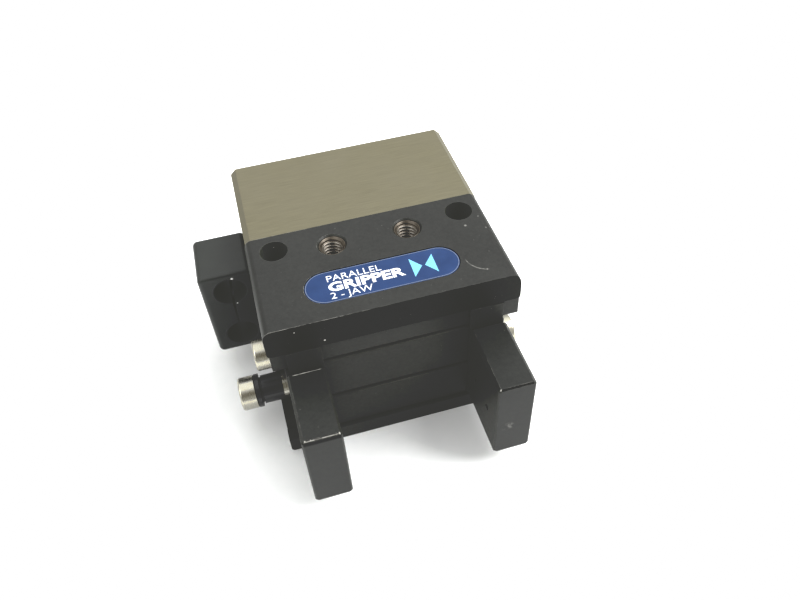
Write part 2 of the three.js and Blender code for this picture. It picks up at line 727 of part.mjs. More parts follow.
function sensorBracket() {
  const inner = -CYLINDER_HALF_WIDTH;
  const { outer, front, rear, bottom, top, rounding } = BRACKET;
  const body = roundedBlock(outer, inner, front, rear, bottom, top, rounding);
  const halfSlit = CLAMP_SLIT_WIDTH / 2;
  const [lowZ, highZ] = SENSOR_HOLE.zs;
  const cutters = [block(SENSOR_HOLE.x - halfSlit, SENSOR_HOLE.x + halfSlit, -1, REACH, lowZ, highZ)];
  for (const z of SENSOR_HOLE.zs) {
    cutters.push(bar("y", SENSOR_HOLE.radius, -1, REACH, { x: SENSOR_HOLE.x, z }));
  }
  for (const y of BRACKET_SCREW_YS) {
    const place = { y, z: BRACKET_SCREW_Z };
    cutters.push(bar("x", M25.shankRadius + 0.15, -REACH, inner + 1, place));
    cutters.push(bar("x", M25.headRadius + 0.12, -REACH, outer + M25.headHeight + 0.4, place));
  }
  return subtractAll(body, cutters);
}

// Assembly -----------------------------------------------------------------------------------

addPart("guide_housing", guideHousing(), "black");
addPart("cylinder_housing", cylinderHousing(), "olive");
const pocketFloorZ = THICKNESS - LABEL.pocket;
addPart("name_label", labelSolid(0.12, pocketFloorZ, pocketFloorZ + LABEL.thickness), "label");
addPart("piston", piston(), "steel");
addPart("piston_seal", pistonSeal(), "rubber");
addPart("rod_seal", boreRing(5, ROD_RADIUS + 0.02, 2.35, FRONT_WALL_Y - 0.1), "rubber");
addPart("wedge_hook", wedgeHook(), "darkSteel");
addPart("rear_cover", rearCover(), "olive");
addPart("cover_seal", coverSeal(), "rubber");
addPart("retaining_ring", retainingRing(), "darkSteel");
addPart("roller_cage_upper", rollerCage(SLOT_CEILING_Z - GUIDE_GAP / 2), "darkSteel");
addPart("roller_cage_lower", rollerCage(SLOT_FLOOR_Z + GUIDE_GAP / 2), "darkSteel");
addPart("sensor_bracket", sensorBracket(), "plastic");
addPart("cam_washer", washer(CAM_PLACE, CAM_WASHER), "steel");
addPart("cam_spacer", camSpacer(), "plastic");

for (const [name, end] of Object.entries(END_SCREWS)) {
  const { side, z, size } = end;
  addPart(`jaw_${name}`, jaw(end), "black");
  addPart(`finger_${name}`, finger(side), "black");
  addPart(`thread_insert_${name}`, threadInsert(side), "darkSteel");
  addPart(`end_washer_${name}`, washer(end, end.washer), "steel");
  const seat = [side * (BAR_END + end.washer.thickness), END_SCREW_Y, z];
  const endScrew = capScrew(size, END_SCREW_LENGTH + end.washer.thickness);
  placeScrew(`end_screw_${name}`, endScrew, "steel", [side, 0, 0], seat);
  FINGER_SCREW_YS.forEach((y, index) => {
    const place = [side * FINGER.far, y, FINGER_SCREW_Z];
    const screw = countersunkScrew(M25_COUNTERSUNK, FINGER_SCREW_LENGTH);
    placeScrew(`finger_screw_${name}_${index + 1}`, screw, "steel", [side, 0, 0], place);
  });
}

const camSeatX = -BAR_END - CAM_WASHER.thickness - CAM_SPACER.length;
const camScrew = capScrew(M3_WIDE, -BAR_END - camSeatX + END_SCREW_LENGTH);
placeScrew("cam_screw", camScrew, "steel", [-1, 0, 0], [camSeatX, END_SCREW_Y, CAM_PLACE.z]);

const pistonSeatY = PISTON_REAR_Y - M3.headHeight - 0.1;
const pistonScrewLength = pistonSeatY - SLOT_REAR_Y - 0.4;
placeScrew("piston_screw", capScrew(M3, pistonScrewLength), "steel", [0, 1, 0], [0, pistonSeatY, BORE_Z]);

housingScrewPlaces().forEach((place, index) => {
  const screw = capScrew(M3, HOUSING_SCREW.seatY - HOUSING_SCREW.tipY);
  const seat = [place.x, HOUSING_SCREW.seatY, place.z];
  placeScrew(`housing_screw_${index + 1}`, screw, "steel", [0, 1, 0], seat);
});

BRACKET_SCREW_YS.forEach((y, index) => {
  const seatX = BRACKET.outer + M25.headHeight + 0.4;
  const screw = capScrew(M25, BRACKET_SCREW_GRIP - CYLINDER_HALF_WIDTH - seatX);
  placeScrew(`bracket_screw_${index + 1}`, screw, "steel", [-1, 0, 0], [seatX, y, BRACKET_SCREW_Z]);
});

export default gripper;
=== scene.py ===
"""Looks for the pneumatic gripper: materials, threads, screws, label print, light and camera.

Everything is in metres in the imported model's frame: +Z out of the labelled face, X along the
jaws' stroke, and the fingers point towards -Y.
"""

import json
import math

import bmesh
import bpy
from mathutils import Matrix, Quaternion, Vector


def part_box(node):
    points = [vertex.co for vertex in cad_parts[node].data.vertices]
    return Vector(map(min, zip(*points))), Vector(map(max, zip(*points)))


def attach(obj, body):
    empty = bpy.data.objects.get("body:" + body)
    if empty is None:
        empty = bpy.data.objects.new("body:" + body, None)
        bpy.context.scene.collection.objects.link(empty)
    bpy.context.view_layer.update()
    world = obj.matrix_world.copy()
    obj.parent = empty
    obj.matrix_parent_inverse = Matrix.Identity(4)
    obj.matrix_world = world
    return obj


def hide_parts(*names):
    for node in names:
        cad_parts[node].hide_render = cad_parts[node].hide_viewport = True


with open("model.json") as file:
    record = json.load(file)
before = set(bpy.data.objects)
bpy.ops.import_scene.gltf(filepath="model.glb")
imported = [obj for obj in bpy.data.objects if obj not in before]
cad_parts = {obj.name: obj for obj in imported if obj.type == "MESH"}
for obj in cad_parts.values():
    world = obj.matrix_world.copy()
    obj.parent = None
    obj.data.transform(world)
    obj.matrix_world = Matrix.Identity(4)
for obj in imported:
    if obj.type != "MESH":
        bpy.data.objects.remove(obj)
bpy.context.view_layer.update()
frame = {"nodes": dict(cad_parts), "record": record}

MM = 0.001
NODES = frame["nodes"]

# Thread of the two mounting inserts.
THREAD_PITCH = 0.7 * MM
THREAD_DEPTH = 0.38 * MM
THREAD_STEPS = 40
THREAD_ROWS_PER_TURN = 8
THREAD_ROOT = 2.0 * MM
# The countersunk mouth starts this far inside the sleeve's outer wall.
MOUTH_LIP = 0.06 * MM
# How steep the thread's flanks are: above 1 leaves flats at its crests and roots.
FLANK_SLOPE = 1.25
# The inserts' axes at x = +-6.65, and the radius of the thread's crests, in millimetres.
THREAD_AXIS = (6.65, -5.05)
THREAD_CREST = 1.62

# Socket cap screws: head height, shank radius, the socket's half width and depth, and then the
# rounding of the head's rim and the steps round it.
SCREW_M3 = {"head": 3.0 * MM, "shank": 1.5 * MM, "hex": 1.25 * MM, "socket": 1.4 * MM}
SCREW_M25 = {"head": 2.5 * MM, "shank": 1.25 * MM, "hex": 1.0 * MM, "socket": 1.2 * MM}
SCREW_EDGE = 0.35 * MM
SCREW_STEPS = 96

INK_THICKNESS = 0.03 * MM

# The label's lines, in millimetres: piece, words, size, baseline, weight and widening.
LABEL_LEFT = -9.2
LABEL_LINES = [
    ("label_line_1", "PARALLEL", 2.0, 1.1, 0.0, 1.05),
    ("label_line_2", "GRIPPER", 2.7, -1.15, 0.1, 1.25),
    ("label_line_3", "2 - JAW", 2.0, -2.85, 0.0, 1.05),
]
# The two arrowheads: where they meet, half the gap between them, their far ends and half height.
ARROWS = {"middle": 6.9, "gap": 0.25, "reach": 2.0, "half": 2.2}
# The thin rim round the print: how far in its edges lie.
RIM = (0.1, 0.2)

# Marks on the labelled face, in millimetres: an arc-shaped scratch, and dents as (x, y, radius).
# MARK_STRENGTH is how bright both are.
SCRATCH = {"centre": (17.5, -15.3), "radius": 3.93, "middle": (14.7, -17.8), "reach": 2.4, "width": 0.12}
DENTS = [(16.4, -7.75, 0.3), (19.6, -9.3, 0.15), (19.3, -6.1, 0.15), (16.25, -19.0, 0.2)]
MARK_STRENGTH = 0.35

# Specks on the plate's front face, as (x, z, radius).
FRONT_SPECKS = [(-11.85, 28.9, 0.2), (-16.3, 32.25, 0.15), (-12.9, 25.55, 0.12), (-17.9, 27.3, 0.12)]

# Painted highlights: glint spots along the fingers' top edges, as (x, y, radius), and glint lines on
# the left finger's top edges; and a smudge on the right finger's front face, as (x, z, radius).
FINGER_GLINTS = [(-18.5, -35.1, 0.15), (-17.6, -35.1, 0.1), (-13.1, -35.1, 0.15), (13.05, -35.05, 0.15)]
GLINT_LINES = [
    {"y": -22.2, "half": 0.1, "from": -18.3, "to": -13.2},
    {"y": -35.16, "half": 0.08, "from": -18.8, "to": -12.9},
]
SMUDGE = (14.8, 12.0, 1.3)
# A painted dark reflection, in a band under the left finger's top edge, from z to z, the height of
# the fingers' tops, and where the left finger's inner edges start.
DARK_REFLECTION_BAND = (21.35, 22.25)
FINGER_TOP = 22.2
LEFT_FINGER_INNER = -13.3

# Painted glints on the sensor bracket's front face, as (x, z, radius).
BRACKET_GLINTS = [(-24.85, 25.4, 0.3), (-25.75, 19.15, 0.16), (-25.1, 19.15, 0.16)]

# The plate's front face, above a height and before a depth, and how its tone is scaled.
PLATE_FRONT = {"above": 23.0, "before": -21.0, "tone": 0.5}
# The plate's rubbed edges and painted edge highlights grow from z to z, fade from x to x, and are
# little in a band round its holes.
WEAR_AND_SHEEN_HEIGHT = (26.0, 28.0)
WEAR_AND_SHEEN_FADE = (-13.0, -2.0)
SPARED_BAND = 0.5

# Bores, whose walls get painted light, a little paler than the faces round them, as (x, y or z, radius).
MOUNT_BORES = [(-16.5, -3.65, 2.45), (16.5, -3.65, 2.45)]
SENSOR_BORES = [(-25.7, 11.05, 3.05), (-25.7, 22.35, 3.05)]

# A face looks along a direction from the first cosine on, and fully from the second.
FACING = (0.55, 0.85)
SLANTED = (0.93, 0.98)
BEVEL_SAMPLES = 6

# The colour of metal along edges and in marks: real rubbing, and painted highlights and glints.
BARE_METAL_AND_GLINT = (0.55, 0.54, 0.50)
# How much painted light makes the bores' walls paler, and how dark shading can make a face.
BORE_PAINTED_LIGHT = 2.0
SENSOR_BORE_PAINTED_LIGHT = 3.0
DARKEST = 0.3

# Turning rings on bare steel, and the moulded grain of plastic, per millimetre.
TURN_MARKS = 11.0
MOULD_GRAIN = 5.0

# Light: the sky's strength and its colours as (height, colour), the dim side that the fronts mirror
# and where it fades in, and the two lamps as (direction, distance, size, power).
SKY_STRENGTH = 1.55
SKY_STOPS = [
    (0.05, (0.16, 0.152, 0.135, 1)),
    (0.35, (0.51, 0.51, 0.48, 1)),
    (0.75, (0.98, 0.99, 1.0, 1)),
]
SKY_DIM = (0.095, 0.083, 0.055, 1)
DIM_SIDE = (-0.2, -1.0, 1.0)
DIM_FADE = (0.84, 0.98)
LAMPS = {
    "key": ((1.0, -0.3, 1.2), 0.6, 0.4, 3.6),
    "fill": ((-0.8, -0.5, 1.0), 0.7, 0.6, 1.0),
}
LAMP_TARGET = (0, 0, 15 * MM)

FLOOR_HALF = 1.2
FLOOR_GAP = 0.02 * MM
FLOOR_GLOW = 0.02

CAMERA_PLACE = Vector((-16.55, -97.19, 116.43)) * MM
CAMERA_AZIMUTH = -12.92
CAMERA_ELEVATION = 46.78
CAMERA_ROLL = -3.8
CAMERA_LENS = 32.61
# The tone curve: what black becomes by channel, and (light, shown) where the curve bends.
TONE_BLACK = (0.0325, 0.0330, 0.0290)
TONE_TOE = (0.042, 0.042)
TONE_SHOULDER = (0.55, 0.55)
TONE_WHITE = (0.8, 1.0)


# Shader nodes ---------------------------------------------------------------------------------

class Shader:
    """A thin wrapper that adds shader nodes and links them by socket name."""

    def __init__(self, name):
        self.material = bpy.data.materials.new(name)
        self.material.use_nodes = True
        self.tree = self.material.node_tree
        self.tree.nodes.clear()
        self.output = self.tree.nodes.new("ShaderNodeOutputMaterial")
        self.surface = self.tree.nodes.new("ShaderNodeBsdfPrincipled")
        self.link(self.surface.outputs["BSDF"], self.output.inputs["Surface"])
        self.coords = self.tree.nodes.new("ShaderNodeTexCoord").outputs["Object"]

    def link(self, source, target):
        """Joins an output socket to an input socket."""
        self.tree.links.new(source, target)

    def node(self, kind, inputs=None, **settings):
        """A new node, with its settings made and its inputs linked or set."""
        made = self.tree.nodes.new(kind)
        for key, value in settings.items():
            setattr(made, key, value)
        for key, value in (inputs or {}).items():
            if isinstance(value, bpy.types.NodeSocket):
                self.link(value, made.inputs[key])
            else:
                made.inputs[key].default_value = value
        return made

    def stretched(self, scale):
        """Object coordinates in millimetres, scaled by axis."""
        inputs = {"Vector": self.coords, "Scale": [value / MM for value in scale]}
        return self.node("ShaderNodeMapping", inputs).outputs["Vector"]

    def noise(self, scale, detail=4.0, roughness=0.55):
        """Noise with the given number of features per millimetre along each axis."""
        inputs = {
            "Vector": self.stretched(scale),
            "Scale": 1.0,
            "Detail": detail,
            "Roughness": roughness,
        }
        return self.node("ShaderNodeTexNoise", inputs).outputs["Fac"]

    def cells(self, scale):
        """Distance to the nearest of many scattered points, a given number per millimetre."""
        inputs = {"Vector": self.stretched(scale), "Scale": 1.0}
        return self.node("ShaderNodeTexVoronoi", inputs).outputs["Distance"]

    def facing(self, axis, sign):
        """1 on faces that look along one axis, 0 on the others."""
        normal = self.tree.nodes["Texture Coordinate"].outputs["Normal"]
        parts = self.node("ShaderNodeSeparateXYZ", {"Vector": normal})
        return self.span(self.math("MULTIPLY", parts.outputs[axis], sign), *FACING)

    def slant(self):
        """1 on faces that look up and towards the fingers at 45 degrees, 0 on the others."""
        normal = self.tree.nodes["Texture Coordinate"].outputs["Normal"]
        towards = {0: normal, 1: (0.0, -math.sqrt(0.5), math.sqrt(0.5))}
        dot = self.node("ShaderNodeVectorMath", towards, operation="DOT_PRODUCT")
        return self.span(dot.outputs["Value"], *SLANTED)

    def place(self):
        """Object coordinates in millimetres, as three values."""
        parts = self.node("ShaderNodeSeparateXYZ", {"Vector": self.stretched((1, 1, 1))})
        return [parts.outputs[axis] for axis in "XYZ"]

    def distance_to(self, a, b, plane="XY"):
        """Millimetres from one point, measured in one plane."""
        place = dict(zip("XYZ", self.place()))
        dx = self.math("SUBTRACT", place[plane[0]], a)
        dy = self.math("SUBTRACT", place[plane[1]], b)
        squares = self.math("ADD", self.math("MULTIPLY", dx, dx), self.math("MULTIPLY", dy, dy))
        return self.math("SQRT", squares)

    def spots(self, places, plane, core=0.6):
        """1 inside any of the circles (a, b, radius) in one plane, fading out from their core."""
        inside = 0.0
        for a, b, radius in places:
            spot = self.span(self.distance_to(a, b, plane), radius, radius * core)
            inside = self.math("MAXIMUM", inside, spot)
        return inside

    def span(self, value, low, high, to_low=0.0, to_high=1.0):
        """Maps low..high to to_low..to_high, clamped. The high end may be the lower value."""
        inputs = {
            "Value": value,
            "From Min": low,
            "From Max": high,
            "To Min": to_low,
            "To Max": to_high,
        }
        return self.node("ShaderNodeMapRange", inputs).outputs["Result"]

    def math(self, operation, a, b=0.0):
        """The result of one arithmetic node on values or sockets."""
        node = self.node("ShaderNodeMath", operation=operation)
        for index, value in enumerate((a, b)):
            if isinstance(value, bpy.types.NodeSocket):
                self.link(value, node.inputs[index])
            else:
                node.inputs[index].default_value = value
        return node.outputs["Value"]

    def mix(self, amount, a, b):
        """A blend of two colours, from a at 0 to b at 1."""
        node = self.node("ShaderNodeMix", data_type="RGBA")
        for index, value in ((0, amount), (6, a), (7, b)):
            if isinstance(value, bpy.types.NodeSocket):
                self.link(value, node.inputs[index])
            elif index == 0:
                node.inputs[index].default_value = value
            else:
                node.inputs[index].default_value = (*value, 1.0)
        return node.outputs[2]

    def scaled(self, colour, amount):
        """A colour multiplied by a value."""
        node = self.node("ShaderNodeVectorMath", {0: colour, "Scale": amount}, operation="SCALE")
        return node.outputs["Vector"]

    def edges(self, radius, low=0.02, high=0.25, others=1.0):
        """1 on sharp upper edges, others on sharp edges elsewhere, 0 on flat faces."""
        rounded = self.node("ShaderNodeBevel", {"Radius": radius}, samples=BEVEL_SAMPLES).outputs["Normal"]
        true = self.node("ShaderNodeNewGeometry").outputs["Normal"]
        dot = self.node("ShaderNodeVectorMath", {0: rounded, 1: true}, operation="DOT_PRODUCT")
        sharp = self.span(self.math("SUBTRACT", 1.0, dot.outputs["Value"]), low, high)
        up = self.node("ShaderNodeSeparateXYZ", {"Vector": rounded}).outputs["Z"]
        return self.math("MULTIPLY", sharp, self.span(up, 0.15, 0.5, others, 1.0))

    def bump(self, height, distance, strength=1.0, soft_edge=0.0):
        """Bump over an optional small rounding of the edges."""
        inputs = {"Height": height, "Distance": distance, "Strength": strength}
        if soft_edge:
            rounded = self.node("ShaderNodeBevel", {"Radius": soft_edge}, samples=BEVEL_SAMPLES)
            inputs["Normal"] = rounded.outputs["Normal"]
        self.link(self.node("ShaderNodeBump", inputs).outputs["Normal"], self.surface.inputs["Normal"])

    def set(self, **inputs):
        """Links or sets the surface's inputs, named with underscores for spaces."""
        for key, value in inputs.items():
            socket = self.surface.inputs[key.replace("_", " ")]
            if isinstance(value, bpy.types.NodeSocket):
                self.link(value, socket)
            elif isinstance(value, tuple):
                socket.default_value = (*value, 1.0)
            else:
                socket.default_value = value


# Materials ------------------------------------------------------------------------------------

def black_anodised(
    name, top, front, side, roughness, wear_and_sheen=0.5, specular=0.5, wear_and_sheen_place=None, shading=None, extra_marks=None
):
    """Satin black hard-anodised aluminium. The faces differ a little in tone by which way they face,
    which is painted light and shade, and there is fine grain, dust, and metal along the edges that is
    partly real rubbing and partly painted highlight. wear_and_sheen_place scales that edge metal,
    shading scales the tone, and extra_marks add more metal: real marks on some parts, painted
    highlights on others. Where the shading darkens, the face also loses its shine, by way of the
    metallic value."""
    s = Shader(name)
    clouds = s.noise((0.12, 0.12, 0.12), detail=3.0)
    fine = s.noise((7.0, 7.0, 7.0), detail=4.0, roughness=0.7)
    specks = s.span(s.cells((1.1, 1.1, 1.1)), 0.085, 0.03)
    rare = s.span(s.noise((0.35, 0.35, 0.35), detail=1.0), 0.56, 0.64)
    marks = s.math("MULTIPLY", specks, rare)
    # Painted light and shade: upward faces, faces towards the fingers and the rest each get a tone.
    tone = s.mix(s.facing("Z", 1.0), side, top)
    tone = s.mix(s.facing("Y", -1.0), tone, front)
    blotches = s.noise((1.6, 1.6, 1.6), detail=3.0, roughness=0.65)
    mottle = s.math("ADD", s.math("MULTIPLY", clouds, 0.25), s.math("MULTIPLY", fine, 0.4))
    mottle = s.math("ADD", mottle, s.math("MULTIPLY", blotches, 0.35))
    shade = s.span(mottle, 0.34, 0.66, 0.6, 1.4)
    shine_lost = 0.0
    if shading:
        extra = shading(s)
        shade = s.math("MULTIPLY", shade, extra)
        shine_lost = s.span(extra, DARKEST, 1.0, 0.9, 0.0)
    colour = s.scaled(tone, shade)
    # Metal along the edges, upper edges most: partly real rubbing, partly painted highlight.
    patches = s.span(s.noise((0.9, 0.9, 0.9), detail=3.0), 0.44, 0.66, 0.06, 1.0)
    patchy = s.math("MULTIPLY", s.edges(0.2 * MM, 0.01, 0.12, others=0.25), patches)
    if wear_and_sheen_place:
        patchy = s.math("MULTIPLY", patchy, wear_and_sheen_place(s))
    wear_and_glints = s.math("MAXIMUM", s.math("MULTIPLY", marks, 0.3), s.math("MULTIPLY", patchy, wear_and_sheen))
    if extra_marks:
        wear_and_glints = s.math("MAXIMUM", wear_and_glints, extra_marks(s))
    s.set(
        Base_Color=s.mix(wear_and_glints, colour, BARE_METAL_AND_GLINT),
        Metallic=s.math("MAXIMUM", s.math("MULTIPLY", wear_and_glints, 0.5), shine_lost),
        Roughness=s.span(fine, 0.3, 0.7, roughness - 0.06, roughness + 0.08),
        Specular_IOR_Level=specular,
    )
    height = s.math("SUBTRACT", s.math("MULTIPLY", fine, 0.6), s.math("MULTIPLY", wear_and_glints, 0.5))
    s.bump(height, 0.012 * MM, 0.5, soft_edge=0.12 * MM)
    return s.material


def plate_marks(s):
    """The curved scratch near one corner of the labelled face, dents, and specks in front."""
    top = s.facing("Z", 1.0)
    ring = s.math("ABSOLUTE", s.math("SUBTRACT", s.distance_to(*SCRATCH["centre"]), SCRATCH["radius"]))
    line = s.span(ring, SCRATCH["width"], SCRATCH["width"] / 3)
    near = s.span(s.distance_to(*SCRATCH["middle"]), SCRATCH["reach"], SCRATCH["reach"] - 0.4)
    breaks = s.span(s.noise((1.5, 1.5, 1.5), detail=2.0), 0.4, 0.6, 0.25, 1.0)
    marks = s.math("MULTIPLY", s.math("MULTIPLY", line, near), s.math("MULTIPLY", breaks, MARK_STRENGTH))
    dents = s.math("MULTIPLY", s.spots(DENTS, "XY", 0.4), MARK_STRENGTH)
    marks = s.math("MAXIMUM", marks, dents)
    specks = s.math("MULTIPLY", s.spots(FRONT_SPECKS, "XZ"), s.facing("Y", -1.0))
    return s.math("MAXIMUM", s.math("MULTIPLY", marks, top), specks)


def plate_wear_and_sheen(s):
    """Rubbed edges and painted edge highlights on the plate alone: most at its left end, and
    little round its holes.
    """
    x, _, z = s.place()
    height = s.span(z, *WEAR_AND_SHEEN_HEIGHT, 0.1, 1.0)
    along = s.span(x, *WEAR_AND_SHEEN_FADE, 1.0, 0.15)
    rims = [(a, b, radius + SPARED_BAND) for a, b, radius in MOUNT_BORES]
    apart = s.span(s.spots(rims, "XY", 0.95), 0.0, 1.0, 1.0, 0.25)
    return s.math("MULTIPLY", s.math("MULTIPLY", height, along), apart)


def plate_shading(s):
    """Painted light on the walls of the mounting holes, and a darker front face on the plate."""
    bores = s.span(s.spots(MOUNT_BORES, "XY", 0.99), 0.0, 1.0, 1.0, BORE_PAINTED_LIGHT)
    _, y, z = s.place()
    above_foot = s.span(z, PLATE_FRONT["above"], PLATE_FRONT["above"] + 0.5)
    in_front = s.span(y, PLATE_FRONT["before"], PLATE_FRONT["before"] - 0.3)
    front = s.math("MULTIPLY", s.math("MULTIPLY", above_foot, in_front), s.facing("Y", -1.0))
    return s.math("MULTIPLY", bores, s.span(front, 0.0, 1.0, 1.0, PLATE_FRONT["tone"]))


def finger_marks(s):
    """Painted highlights as spots and lines along the fingers' top edges, and a smudge on one front face."""
    x, y, z = s.place()
    glint_mask = s.spots(FINGER_GLINTS, "XY", 0.5)
    breaks = s.span(s.noise((1.1, 1.1, 1.1), detail=3.0), 0.4, 0.62, 0.3, 0.85)
    for mark in GLINT_LINES:
        offset = s.math("ABSOLUTE", s.math("SUBTRACT", y, mark["y"]))
        line = s.span(offset, mark["half"], mark["half"] / 2)
        start = s.span(x, mark["from"], mark["from"] + 0.5)
        end = s.span(x, mark["to"], mark["to"] - 0.5)
        length = s.math("MULTIPLY", start, end)
        glint_mask = s.math("MAXIMUM", glint_mask, s.math("MULTIPLY", s.math("MULTIPLY", line, length), breaks))
    glint_mask = s.math("MULTIPLY", glint_mask, s.span(z, FINGER_TOP - 0.2, FINGER_TOP))
    patches = s.span(s.noise((1.2, 1.2, 1.2), detail=3.0), 0.5, 0.65, 0.0, 0.22)
    on_front = s.math("MULTIPLY", patches, s.facing("Y", -1.0))
    return s.math("MAXIMUM", glint_mask, s.math("MULTIPLY", s.spots([SMUDGE], "XZ", 0.3), on_front))


def finger_wear_and_sheen(s):
    """Rubbed edges and painted edge highlights on every edge but the left finger's inner ones."""
    x = s.place()[0]
    inner = s.math("MULTIPLY", s.span(x, LEFT_FINGER_INNER - 0.3, LEFT_FINGER_INNER), s.span(x, 0.0, -1.0))
    return s.span(inner, 0.0, 1.0, 1.0, 0.1)


def finger_shading(s):
    """Painted dark reflections: a darker slanted edge, and a dark band below it on the left finger."""
    x, _, z = s.place()
    low, high = DARK_REFLECTION_BAND
    band = s.math("MULTIPLY", s.span(z, low, low + 0.4), s.span(z, high + 0.2, high))
    band = s.math("MULTIPLY", band, s.span(x, 0.0, -1.0))
    band = s.math("MULTIPLY", band, s.facing("Y", -1.0))
    dark = s.math("MAXIMUM", s.math("MULTIPLY", s.slant(), 0.6), band)
    return s.span(dark, 0.0, 1.0, 1.0, DARKEST)


def olive_anodised(name, brushed_along):
    """Olive grey hard anodising over fine brushing."""
    s = Shader(name)
    fine = [14.0, 14.0, 14.0]
    fine[brushed_along] = 0.22
    long_lines = [5.0, 5.0, 5.0]
    long_lines[brushed_along] = 0.12
    grain = s.noise(fine, detail=3.0, roughness=0.7)
    lines = s.noise(long_lines, detail=3.0, roughness=0.6)
    clouds = s.noise((0.09, 0.09, 0.09), detail=2.0)
    tone = s.math("ADD", s.math("MULTIPLY", grain, 0.75), s.math("MULTIPLY", lines, 0.25))
    base = s.mix(s.span(tone, 0.33, 0.67), (0.115, 0.103, 0.063), (0.194, 0.177, 0.109))
    base = s.mix(s.span(clouds, 0.3, 0.7, 0.0, 0.35), base, (0.172, 0.158, 0.110))
    edge = s.math("MULTIPLY", s.edges(0.1 * MM), s.span(s.noise((0.9, 0.9, 0.9)), 0.4, 0.6, 0.15, 0.6))
    s.set(
        Base_Color=s.mix(edge, base, (0.42, 0.40, 0.33)),
        Metallic=0.35,
        Roughness=s.span(tone, 0.3, 0.7, 0.42, 0.56),
    )
    s.bump(tone, 0.02 * MM, 0.35, soft_edge=0.08 * MM)
    return s.material


def machined_steel(name, base, roughness, axis=0, depth=0.003, stained=0.7):
    """Bare steel with fine turning rings square to one axis, and faint stains."""
    s = Shader(name)
    rings = [0.05, 0.05, 0.05]
    rings[axis] = TURN_MARKS
    marks = s.noise(rings, detail=4.0, roughness=0.7)
    stains = s.noise((0.8, 0.8, 0.8), detail=4.0)
    warm = tuple(c * k for c, k in zip(base, (0.82, 0.74, 0.6)))
    s.set(
        Base_Color=s.mix(s.span(stains, 0.5, 0.75, 0.0, stained), base, warm),
        Metallic=1.0,
        Roughness=s.span(marks, 0.3, 0.7, roughness - 0.02, roughness + 0.03),
    )
    s.bump(marks, depth * MM, 0.2)
    return s.material


def moulded_plastic(name, base, roughness, depth=0.02, extra_marks=None, painted_light_walls=None):
    """Black plastic with a fine moulded grain and slightly lighter rubbed edges. painted_light_walls
    tells where walls get painted light, and extra_marks add painted glints."""
    s = Shader(name)
    fine = s.noise((MOULD_GRAIN, MOULD_GRAIN, MOULD_GRAIN), detail=3.0)
    clouds = s.noise((0.2, 0.2, 0.2), detail=2.0)
    darker, lighter = (tuple(c * k for c in base) for k in (0.85, 1.2))
    colour = s.mix(s.span(clouds, 0.3, 0.7), darker, lighter)
    rubbed = s.math("MULTIPLY", s.edges(0.25 * MM), 0.12)
    colour = s.mix(rubbed, colour, (0.12, 0.12, 0.11))
    if painted_light_walls:
        # Painted light: the walls inside the holes are made paler.
        colour = s.scaled(colour, s.span(painted_light_walls(s), 0.0, 1.0, 1.0, SENSOR_BORE_PAINTED_LIGHT))
    if extra_marks:
        # Painted glints in near white.
        colour = s.mix(extra_marks(s), colour, (0.9, 0.9, 0.88))
    s.set(
        Base_Color=colour,
        Roughness=s.span(fine, 0.3, 0.7, roughness - 0.05, roughness + 0.06),
    )
    s.bump(fine, depth * MM, 0.4, soft_edge=0.15 * MM)
    return s.material


def bracket_glints(s):
    """Painted glints, tiny and bright, on the rim of the upper sensor hole."""
    return s.math("MULTIPLY", s.spots(BRACKET_GLINTS, "XZ"), s.facing("Y", -1.0))


def bracket_interior(s):
    """1 inside the sensor holes."""
    return s.spots(SENSOR_BORES, "XZ", 0.99)


def seal_rubber(name):
    """Dull black rubber."""
    s = Shader(name)
    fine = s.noise((8.0, 8.0, 8.0), detail=2.0)
    s.set(Base_Color=s.mix(fine, (0.012, 0.012, 0.012), (0.025, 0.025, 0.024)), Roughness=0.75)
    s.bump(fine, 0.02 * MM, 0.4)
    return s.material


def label_foil(name):
    """Blue printed foil under a thin clear coat, a little uneven."""
    s = Shader(name)
    fine = s.noise((10.0, 10.0, 10.0), detail=2.0)
    clouds = s.noise((0.3, 0.3, 0.3), detail=2.0)
    blue = s.mix(s.span(clouds, 0.3, 0.7), (0.010, 0.032, 0.108), (0.016, 0.044, 0.138))
    s.set(Base_Color=blue, Roughness=s.span(fine, 0.3, 0.7, 0.42, 0.52), Specular_IOR_Level=0.27)
    s.bump(clouds, 0.05 * MM, 0.2)
    return s.material


def ink(name, colour):
    """Printed ink, a little uneven."""
    s = Shader(name)
    fine = s.noise((14.0, 14.0, 14.0), detail=2.0)
    low = tuple(c * 0.9 for c in colour)
    s.set(Base_Color=s.mix(s.span(fine, 0.3, 0.7), low, colour), Roughness=0.5)
    s.bump(fine, 0.005 * MM, 0.3)
    return s.material


def table_top(name):
    """A pale, plain table top."""
    s = Shader(name)
    fine = s.noise((0.5, 0.5, 0.5), detail=3.0)
    s.set(Base_Color=s.mix(fine, (0.86, 0.87, 0.87), (0.9, 0.9, 0.9)), Roughness=0.6)
    s.surface.inputs["Specular IOR Level"].default_value = 0.2
    s.surface.inputs["Emission Color"].default_value = (1, 1, 1, 1)
    s.surface.inputs["Emission Strength"].default_value = FLOOR_GLOW
    return s.material


def thread_steel(name):
    """Dark stained steel whose thread crests are rubbed bright."""
    s = Shader(name)
    px, py, _ = s.place()
    dx = s.math("SUBTRACT", s.math("ABSOLUTE", px), THREAD_AXIS[0])
    dy = s.math("SUBTRACT", py, THREAD_AXIS[1])
    radius = s.math("SQRT", s.math("ADD", s.math("MULTIPLY", dx, dx), s.math("MULTIPLY", dy, dy)))
    crest = s.span(radius, THREAD_CREST + 0.12, THREAD_CREST + 0.02)
    stains = s.noise((1.5, 1.5, 1.5), detail=4.0)
    dark = s.mix(s.span(stains, 0.35, 0.65), (0.055, 0.045, 0.034), (0.11, 0.092, 0.07))
    s.set(
        Base_Color=s.mix(crest, dark, (0.55, 0.53, 0.48)),
        Metallic=s.span(crest, 0.0, 1.0, 0.6, 1.0),
        Roughness=s.span(stains, 0.3, 0.7, 0.26, 0.4),
    )
    s.bump(stains, 0.01 * MM, 0.4)
    return s.material


